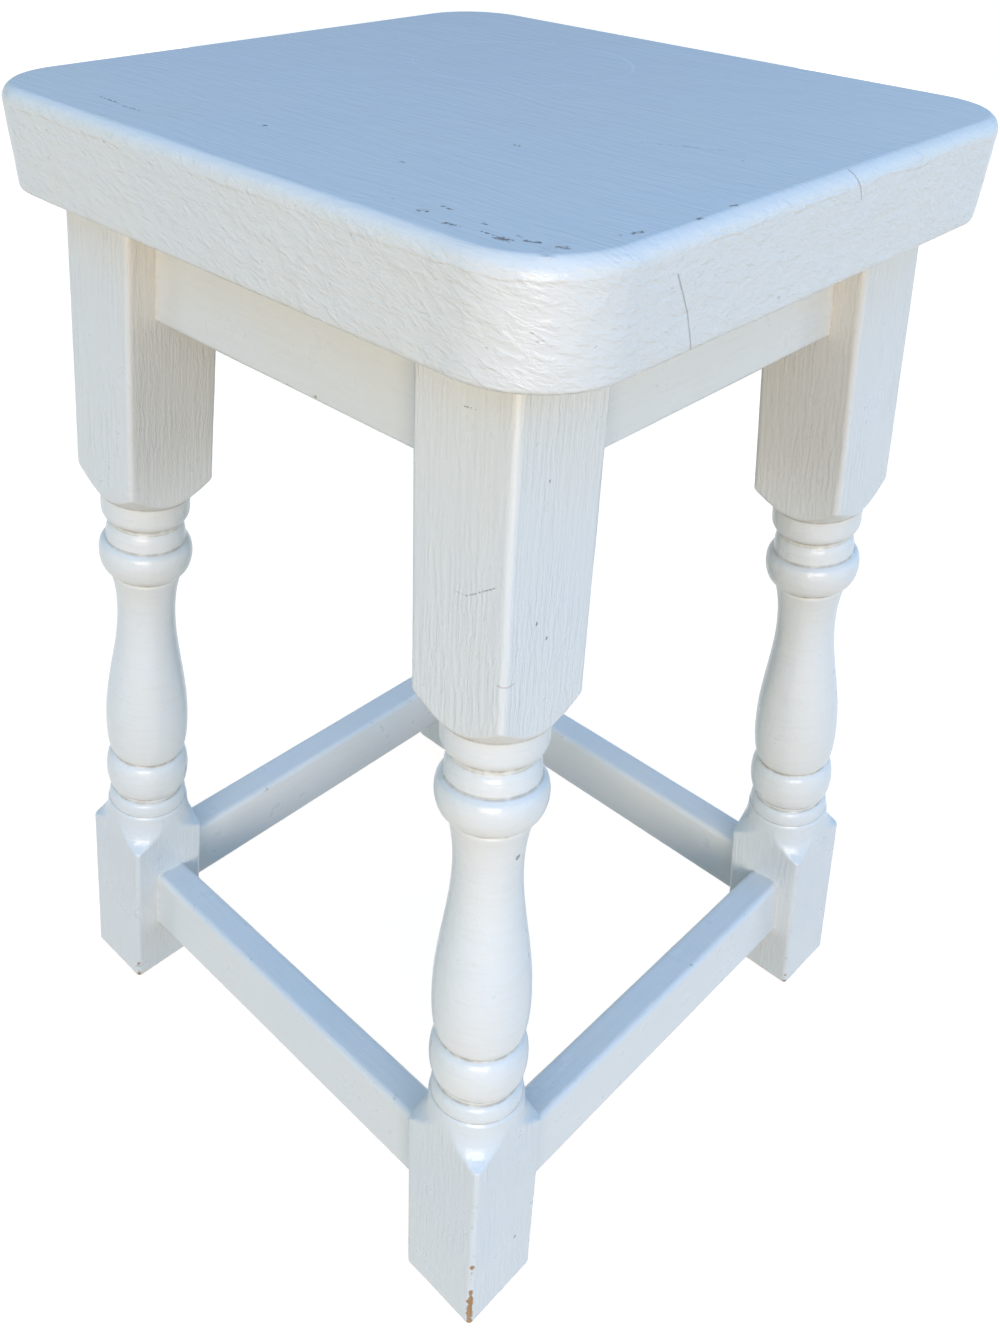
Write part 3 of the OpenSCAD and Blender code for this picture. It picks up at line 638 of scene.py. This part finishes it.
def rail_piece(name, quarter, z, inset, h, apron, seed):
    """One rail with eased edges and a tenon on each end, painted into the legs at its shoulders."""
    rt, re = 16.8, 2.0 if apron else 3.0
    sp = SPLAY
    c, s = math.cos(sp), math.sin(sp)
    y0 = inset - (AXIS / MM - z * math.tan(sp))
    # section, counter-clockwise in (y, z) of the rail
    pts = []
    hw = rt / 2
    bot = -h / 2
    topz = h / 2
    def corner(cy, cz, a0, r):
        for a in np.radians(np.linspace(a0, a0 + 90, 9)):
            pts.append((cy + r * math.cos(a), cz + r * math.sin(a), 1.0))
    def line(a, b, n):
        for f in np.linspace(0, 1, n + 2)[1:-1]:
            pts.append((a[0] + (b[0] - a[0]) * f, a[1] + (b[1] - a[1]) * f, 0.0))
    if apron:
        def zt(y):
            return (UNDER / MM - z + y * s) / c
        pts.append((hw, zt(hw), 0.0))
        line((hw, zt(hw)), (-hw, zt(-hw)), 8)
        pts.append((-hw, zt(-hw), 0.0))
        line((-hw, zt(-hw)), (-hw, bot + re), 22)
    else:
        corner(hw - re, topz - re, 0, re)
        line((hw - re, topz), (-hw + re, topz), 8)
        corner(-hw + re, topz - re, 90, re)
        line((-hw, topz - re), (-hw, bot + re), 20)
    corner(-hw + re, bot + re, 180, re)
    line((-hw + re, bot), (hw - re, bot), 8)
    corner(hw - re, bot + re, 270, re)
    if apron:
        line((hw, bot + re), (hw, zt(hw)), 22)
    else:
        line((hw, bot + re), (hw, topz - re), 20)
    sec = np.array(pts)
    yl, zl, edge = sec[:, 0], sec[:, 1], sec[:, 2]
    n = len(sec)
    # outward direction of the section at each point
    nx = np.roll(zl, -1) - np.roll(zl, 1)
    ny = -(np.roll(yl, -1) - np.roll(yl, 1))
    ln = np.hypot(nx, ny)
    oy, oz = nx / ln, ny / ln
    pt, nrm = leg_plane()

    def place(x, a, b):
        return np.stack([x + 0 * a, y0 + a * c + b * s, z - a * s + b * c], -1)

    def end_x(a, b, off=0.0):
        p = place(np.zeros_like(a), a, b)
        return (nrm @ pt - off - p[:, 1] * nrm[1] - p[:, 2] * nrm[2]) / nrm[0]

    xe = end_x(yl, zl, 0.15)
    dist = [0, 0.25, 0.5, 0.8, 1.2, 1.8, 3, 4.5]
    inner = np.linspace(-1, 1, 84)
    rows, E, C, L, G = [], [], [], [], []
    cols = [(-1, d) for d in dist] + [(0, f) for f in inner[2:-2]] + [(1, d) for d in dist[::-1]]
    for side, d in cols:
        x = (-(xe - d) if side < 0 else (xe - d)) if side else d * (xe - 5.5)
        away = (xe - np.abs(x))
        fillet = (0.22 if apron else 0.45) * np.exp(-away / 0.45)
        p3 = np.stack([x * MM, yl * MM, zl * MM], -1) + np.array([0.21, 0.43, 0.11]) * seed
        dr = 0.6 * (0.10 * vnoise(p3 * np.array([0.4, 1, 1]), 120, seed) + 0.05 * vnoise(p3, 330, seed + 7)) - 0.06
        k = fillet + dr * (1 - np.exp(-away / 1.5))
        if apron:
            k = np.where((zl >= (UNDER / MM - z + yl * s) / c - 0.01), 0, k)
        a, b = yl + oy * k, zl + oz * k
        rows.append(place(x, a, b))
        near = np.exp(-away / 2.2)
        cav = near
        if apron:
            cav = np.maximum(near, np.exp(-((UNDER / MM - z + yl * s) / c - zl) / 2.5))
        C.append(cav)
        G.append(np.exp(-(away / 0.5) ** 2) * (1.0 if apron else 0.3))
        E.append(edge * (1 - near))
        L.append(np.stack([yl, zl, x + 0 * yl], -1) * MM + np.array([0.43, 0.11, 0.21]) * seed)
    # tenons: shoulder ring, tenon at the shoulder, tenon's end
    th = (h - 13) if not apron else 42.8 - 15
    tz = 0.0 if not apron else (UNDER / MM - 42.8 / 2 - 1.5 - z) / c
    ty = 5.0
    ang = np.arctan2(zl / (h / 2), yl / hw)
    sy, sz = np.cos(ang), np.sin(ang)
    m = np.maximum(np.abs(sy), np.abs(sz))
    ta, tb = ty * sy / m, tz + th / 2 * sz / m
    def tenon(side):
        x0, x1 = end_x(ta, tb, 0.1), end_x(ta, tb, -12.8)
        return [place(side * x0, ta, tb), place(side * (x1 - 0.8), ta, tb), place(side * x1, ta * 0.88, tz + (tb - tz) * 0.95)]
    left, right = tenon(-1), tenon(1)
    full = left[::-1] + rows + right
    z0 = np.zeros(n)
    C = [z0] * 3 + C + [z0] * 3
    E = [z0] * 3 + E + [z0] * 3
    G = [z0] * 3 + G + [z0] * 3
    L = [L[0]] * 3 + L + [L[-1]] * 3
    W = np.array(full) * MM
    # points run along +X; turn to the rail's own side
    a = math.radians(90 * quarter)
    rot = np.array([[math.cos(a), -math.sin(a), 0], [math.sin(a), math.cos(a), 0], [0, 0, 1]])
    W = W @ rot.T
    attrs = {"loc": np.array(L), "cavity": np.array(C), "edge": np.array(E), "groove": np.array(G), "foot": np.zeros((len(W), n)),
             "turned": np.zeros((len(W), n)), "chip": np.zeros((len(W), n))}
    ob = rings_to_mesh(name, W, attrs)
    bm = bmesh.new()
    bm.from_mesh(ob.data)
    bmesh.ops.recalc_face_normals(bm, faces=bm.faces)
    bm.to_mesh(ob.data)
    bm.free()
    sharpen(ob, 40)
    return ob


# ------------------------------------------------------------------ seat

def seat_contour(inset, n_edge=84, n_corner=30, rc=30.0):
    w, h = SX / MM - inset, SY / MM - inset
    r = max(rc - inset, 0.02)
    pts, nor, side_u = [], [], []
    for k, (cx, cy) in enumerate(((1, 1), (-1, 1), (-1, -1), (1, -1))):
        a0 = 90 * k
        ox, oy = cx * (w - r), cy * (h - r)
        for a in np.radians(np.linspace(a0, a0 + 90, n_corner)):
            pts.append((ox + r * math.cos(a), oy + r * math.sin(a)))
            nor.append((math.cos(a), math.sin(a)))
        nxt = ((1, 1), (-1, 1), (-1, -1), (1, -1))[(k + 1) % 4]
        b = math.radians(a0 + 90)
        p0 = np.array(pts[-1])
        p1 = np.array([nxt[0] * (w - r) + r * math.cos(b), nxt[1] * (h - r) + r * math.sin(b)])
        for f in np.linspace(0, 1, n_edge + 2)[1:-1]:
            pts.append(tuple(p0 + (p1 - p0) * f))
            nor.append((math.cos(b), math.sin(b)))
    return np.array(pts), np.array(nor)


def seat_pieces():
    te, be = 5.0, 1.5
    base, nor = seat_contour(0)
    n = len(base)
    T, U = TOP / MM, UNDER / MM
    rows = []   # inset, z, side weight, profile length
    deep = SY / MM - 0.5
    for d in np.linspace(deep, 8, 40):
        rows.append((d, T, 0.0))
    for d in (7, 6.2, 5.5):
        rows.append((d, T, 0.0))
    for a in np.radians(np.linspace(90, 0, 11)):
        rows.append((te - te * math.cos(a), T - te + te * math.sin(a), smooth(0.35, 0.95, math.cos(a))))
    for zz in np.linspace(T - te, U + be, 20)[1:]:
        rows.append((0.0, zz, 1.0))
    for a in np.radians(np.linspace(0, 90, 6))[1:]:
        rows.append((be - be * math.cos(a), U + be - be * math.sin(a), 1.0))
    for d in np.linspace(3, deep, 26):
        rows.append((d, U, 0.0))
    P, SIDE, EDGE, DIRT = [], [], [], []
    for (d, zz, sd) in rows:
        c, _ = seat_contour(d)
        p = np.column_stack([c[:, 0] + SCX / MM, c[:, 1] + SCY / MM, np.full(n, zz)])
        P.append(p)
        SIDE.append(np.full(n, sd))
        top = zz > T - te - 0.01
        e = math.exp(-((d - te * 0.29) / 3.0) ** 2) if top and zz > T - te * 0.9 else 0.0
        EDGE.append(np.full(n, e * 0.35))
        near = np.clip((p[:, 0] * 0.8 - p[:, 1] * 0.75 - 118) / 40, 0, 1) * math.exp(-((d - 8) / 10) ** 2) if zz > T - 2 else 0 * p[:, 0]
        DIRT.append(near)
    P, SIDE, EDGE, DIRT = map(np.array, (P, SIDE, EDGE, DIRT))
    flat = P.reshape(-1, 3) * MM
    # lumpy sides, a faintly uneven top
    side = SIDE.ravel()
    dn = (0.20 * fbm(flat * np.array([1, 1, 1.5]), 95, 11, 3) + 0.09 * vnoise(flat, 260, 17)) * side
    up = 0.10 * vnoise(flat, 24, 31) + 0.04 * vnoise(flat, 90, 33)
    norm3 = np.tile(np.column_stack([nor, np.zeros(n)]), (len(P), 1))
    Q = P.reshape(-1, 3) + norm3 * (dn - 0.16)[:, None] * (side > 0.02)[:, None]
    top = (P.reshape(-1, 3)[:, 2] > T - 0.001)
    Q[:, 2] += np.where(top, np.minimum(up - 0.10, 0.0), 0) * (1 - side)
    loc = flat[:, [1, 2, 0]]
    cav = np.zeros(P.shape[:2])
    attrs = {"loc": loc.reshape(P.shape), "side": SIDE, "edge": EDGE, "dirt": DIRT, "cavity": cav,
             "groove": cav, "foot": cav, "turned": cav, "chip": cav}
    whole = rings_to_mesh("seat_whole", Q.reshape(P.shape) * MM, attrs, flip=True)
    bm = bmesh.new()
    bm.from_mesh(whole.data)
    bmesh.ops.remove_doubles(bm, verts=bm.verts, dist=2e-6)
    bmesh.ops.dissolve_degenerate(bm, edges=bm.edges, dist=1e-6)
    bmesh.ops.recalc_face_normals(bm, faces=bm.faces)
    bm.to_mesh(whole.data)
    bm.free()
    out = []
    for name, lo, hi in (("seat_front_board", None, JOINT_Y[0]), ("seat_middle_board", JOINT_Y[0], JOINT_Y[1]), ("seat_back_board", JOINT_Y[1], None)):
        me = whole.data.copy()
        me.name = name
        bm = bmesh.new()
        bm.from_mesh(me)
        for y, keep_above in ((lo, True), (hi, False)):
            if y is None:
                continue
            r = bmesh.ops.bisect_plane(bm, geom=bm.verts[:] + bm.edges[:] + bm.faces[:], dist=1e-7, plane_co=(0, y, 0), plane_no=(0, 1, 0),
                                       clear_inner=keep_above, clear_outer=not keep_above)
            cut = [e for e in r["geom_cut"] if isinstance(e, bmesh.types.BMEdge)]
            for e in cut:
                e.smooth = False
            bmesh.ops.holes_fill(bm, edges=cut, sides=0)
        bmesh.ops.recalc_face_normals(bm, faces=bm.faces)
        bm.to_mesh(me)
        bm.free()
        ob = bpy.data.objects.new(name, me)
        bpy.context.scene.collection.objects.link(ob)
        out.append(ob)
    bpy.data.objects.remove(whole)
    return out


# ------------------------------------------------------------------ build

M_LEG, M_RAIL, M_SEAT = paint("frame_paint_legs", "leg"), paint("frame_paint_rails", "rail"), paint("seat_paint", "seat")
M_PINE, M_BEECH, M_ZINC = pine("bare_pine"), beech("beech"), zinc("zinc_steel")

for (name, mx, my, seed) in (("front_right", 0, 0, 1), ("front_left", 1, 0, 2), ("back_right", 0, 1, 3), ("back_left", 1, 1, 4)):
    chips = ()
    if name == "front_right":
        chips = ((18.9, -18.9, 12.5, 2.0, 0.45), (19.0, -19.0, 5, 1.6, 0.45), (19.0, -19.0, 20, 1.2, 0.3), (19.1, -19.1, 37, 1.3, 0.35))
    ob = leg_piece("turned_leg_" + name, mx, my, seed, chips)
    ob.data.materials.append(M_LEG)
    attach(ob, "root")
    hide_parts("leg_" + name)

for k, side in enumerate(("front", "right", "back", "left")):
    odd = k % 2
    ob = rail_piece("rail_low_" + side, k, 54 + 1.5 * odd, (1.1, -1.6)[odd], 38.4, False, 11 + k)
    ob.data.materials.append(M_RAIL)
    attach(ob, "root")
    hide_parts("stretcher_" + side)
    ob = rail_piece("rail_high_" + side, k, UNDER / MM - 42.8 / 2 + 3, 0.0, 48.8, True, 21 + k)
    ob.data.materials.append(M_RAIL)
    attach(ob, "root")
    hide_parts("apron_" + side)

for ob, node in zip(seat_pieces(), ("seat_board_front", "seat_board_middle", "seat_board_back")):
    ob.data.materials.append(M_SEAT)
    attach(ob, "root")
    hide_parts(node)

for name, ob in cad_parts.items():
    m = M_PINE if name.startswith("corner_block") else M_BEECH if name == "seat_dowels" else M_ZINC if name == "seat_screws" else None
    if m:
        ob.data.materials.clear()
        ob.data.materials.append(m)

# ------------------------------------------------------------------ floor, light, camera

def floor():
    me = bpy.data.meshes.new("floor")
    s = 40.0
    me.from_pydata([(-s, -s, 0), (s, -s, 0), (s, s, 0), (-s, s, 0)], [], [(0, 1, 2, 3)])
    ob = bpy.data.objects.new("floor", me)
    bpy.context.scene.collection.objects.link(ob)
    t = Tree("floor_pale")
    t.bsdf.inputs["Base Color"].default_value = (0.46, 0.36, 0.29, 1)
    t.bsdf.inputs["Roughness"].default_value = 0.9
    t.bsdf.inputs["Specular IOR Level"].default_value = 0.1
    t.bsdf.inputs["Emission Color"].default_value = (0.83, 0.825, 0.815, 1)
    t.bsdf.inputs["Emission Strength"].default_value = 1.0
    me.materials.append(t.mat)
    ob.visible_diffuse = False


floor()


def backdrop():
    """A plain pale wall far behind, seen by the camera only, so it changes no light on the stool."""
    n, r, h = 64, 38.0, 45.0
    ring = [(r * math.cos(2 * math.pi * i / n), r * math.sin(2 * math.pi * i / n)) for i in range(n)]
    me = bpy.data.meshes.new("backdrop")
    me.from_pydata([(x, y, -0.05) for x, y in ring] + [(x, y, h) for x, y in ring], [],
                   [(i, (i + 1) % n, n + (i + 1) % n, n + i) for i in range(n)])
    ob = bpy.data.objects.new("backdrop", me)
    bpy.context.scene.collection.objects.link(ob)
    t = Tree("backdrop_pale")
    t.bsdf.inputs["Base Color"].default_value = (0, 0, 0, 1)
    t.bsdf.inputs["Roughness"].default_value = 1.0
    t.bsdf.inputs["Specular IOR Level"].default_value = 0.0
    t.bsdf.inputs["Emission Color"].default_value = (0.80, 0.795, 0.785, 1)
    t.bsdf.inputs["Emission Strength"].default_value = 1.0
    me.materials.append(t.mat)
    ob.visible_diffuse = ob.visible_glossy = ob.visible_transmission = ob.visible_shadow = False


backdrop()


def soft_sky(parts):
    """Soft light from all round. parts maps low_ or high_ and a side, or below, to a colour."""
    world = bpy.data.worlds.new("soft_sky")
    bpy.context.scene.world = world
    world.use_nodes = True
    nt = world.node_tree
    nt.nodes.clear()

    def m(op, a, b=0.0):
        n = nt.nodes.new("ShaderNodeMath")
        n.operation = op
        for sock, v in zip(n.inputs, (a, b)):
            if isinstance(v, bpy.types.NodeSocket):
                nt.links.new(v, sock)
            else:
                sock.default_value = v
        return n.outputs[0]

    def step(v, lo, hi):
        n = nt.nodes.new("ShaderNodeMapRange")
        n.interpolation_type = "SMOOTHSTEP"
        nt.links.new(v, n.inputs[0])
        n.inputs[1].default_value, n.inputs[2].default_value = lo, hi
        return n.outputs[0]

    tc = nt.nodes.new("ShaderNodeTexCoord")
    sep = nt.nodes.new("ShaderNodeSeparateXYZ")
    nt.links.new(tc.outputs["Generated"], sep.inputs[0])
    x, y, z = sep.outputs
    flat = m("MAXIMUM", m("SQRT", m("ADD", m("MULTIPLY", x, x), m("MULTIPLY", y, y))), 0.0001)
    side = {}
    for name, (hx, hy) in (("front", (0.69, -0.724)), ("back", (-0.69, 0.724)), ("right", (0.724, 0.69)), ("left", (-0.724, -0.69))):
        c = m("MAXIMUM", m("DIVIDE", m("ADD", m("MULTIPLY", x, hx), m("MULTIPLY", y, hy)), flat), 0.0)
        side[name] = m("MULTIPLY", c, c)
    above = step(z, -0.045, -0.004)
    high = step(z, 0.15, 0.65)
    total = None
    for name, colour in parts.items():
        if name == "below":
            w = m("SUBTRACT", 1.0, above)
        else:
            level, where = name.split("_")
            w = m("MULTIPLY", m("MULTIPLY", above, high if level == "high" else m("SUBTRACT", 1.0, high)), side[where])
        rgb = nt.nodes.new("ShaderNodeRGB")
        rgb.name = "sky_" + name
        rgb.outputs[0].default_value = (*colour, 1)
        v = nt.nodes.new("ShaderNodeVectorMath")
        v.operation = "SCALE"
        nt.links.new(rgb.outputs[0], v.inputs[0])
        nt.links.new(w, v.inputs["Scale"])
        if total is None:
            total = v.outputs[0]
        else:
            s = nt.nodes.new("ShaderNodeVectorMath")
            s.operation = "ADD"
            nt.links.new(total, s.inputs[0])
            nt.links.new(v.outputs[0], s.inputs[1])
            total = s.outputs[0]
    bg = nt.nodes.new("ShaderNodeBackground")
    out = nt.nodes.new("ShaderNodeOutputWorld")
    nt.links.new(total, bg.inputs[0])
    nt.links.new(bg.outputs[0], out.inputs[0])


SKY = {"below": (0.05, 0.075, 0.075), "low_front": (0.78, 0.84, 0.78), "low_back": (0.28, 0.34, 0.46), "low_left": (0.58, 0.66, 0.49), "low_right": (0.79, 1.22, 1.58),
       "high_front": (0.24, 0.70, 1.45), "high_back": (0.32, 0.44, 0.64), "high_left": (0.39, 0.60, 0.84), "high_right": (0.27, 0.50, 0.92)}
soft_sky(SKY)


def area(name, loc, target, size, power, colour, size_y=None):
    d = bpy.data.lights.new(name, "AREA")
    d.shape = "RECTANGLE"
    d.size, d.size_y = size, size_y or size
    d.energy = power
    d.color = colour
    o = bpy.data.objects.new(name, d)
    bpy.context.scene.collection.objects.link(o)
    o.location = loc
    o.rotation_mode = "QUATERNION"
    o.rotation_quaternion = (Vector(target) - Vector(loc)).to_track_quat("-Z", "Y")
    o.visible_glossy = not name.endswith("fill")
    return o


area("soft_front", (1.75, -1.85, 0.75), (0, 0, 0.24), 1.5, 43, (1.0, 0.84, 0.69), 1.1)
area("back_fill", (-1.75, 1.9, 0.40), (0, 0, 0.30), 1.5, 20, (0.98, 0.95, 0.92), 0.8)

cam_d = bpy.data.cameras.new("camera")
cam = bpy.data.objects.new("camera", cam_d)
bpy.context.scene.collection.objects.link(cam)
F, CX, CY = 1144.05, 452.39, 669.58
RIGHT = Vector((0.7109839, 0.7027800, 0.0245375))
DOWN = Vector((0.4480706, -0.4258562, -0.7860530))
FWD = Vector((-0.5419728, 0.5698656, -0.6176720))
POS = Vector((0.2835370, -0.3138999, 0.5306145))
cam_d.sensor_fit = "AUTO"
cam_d.sensor_width = 36
cam_d.lens = F * 36 / 1334
cam_d.shift_x = (500 - CX) / 1334
cam_d.shift_y = (CY - 667) / 1334
cam_d.clip_start, cam_d.clip_end = 0.01, 60
m = Matrix((RIGHT, -DOWN, -FWD)).transposed().to_4x4()
m.translation = POS
cam.matrix_world = m
bpy.context.scene.camera = cam

vs = bpy.context.scene.view_settings
vs.view_transform = "Standard"
vs.look = "None"
vs.exposure = 0.0
vs.gamma = 1.0
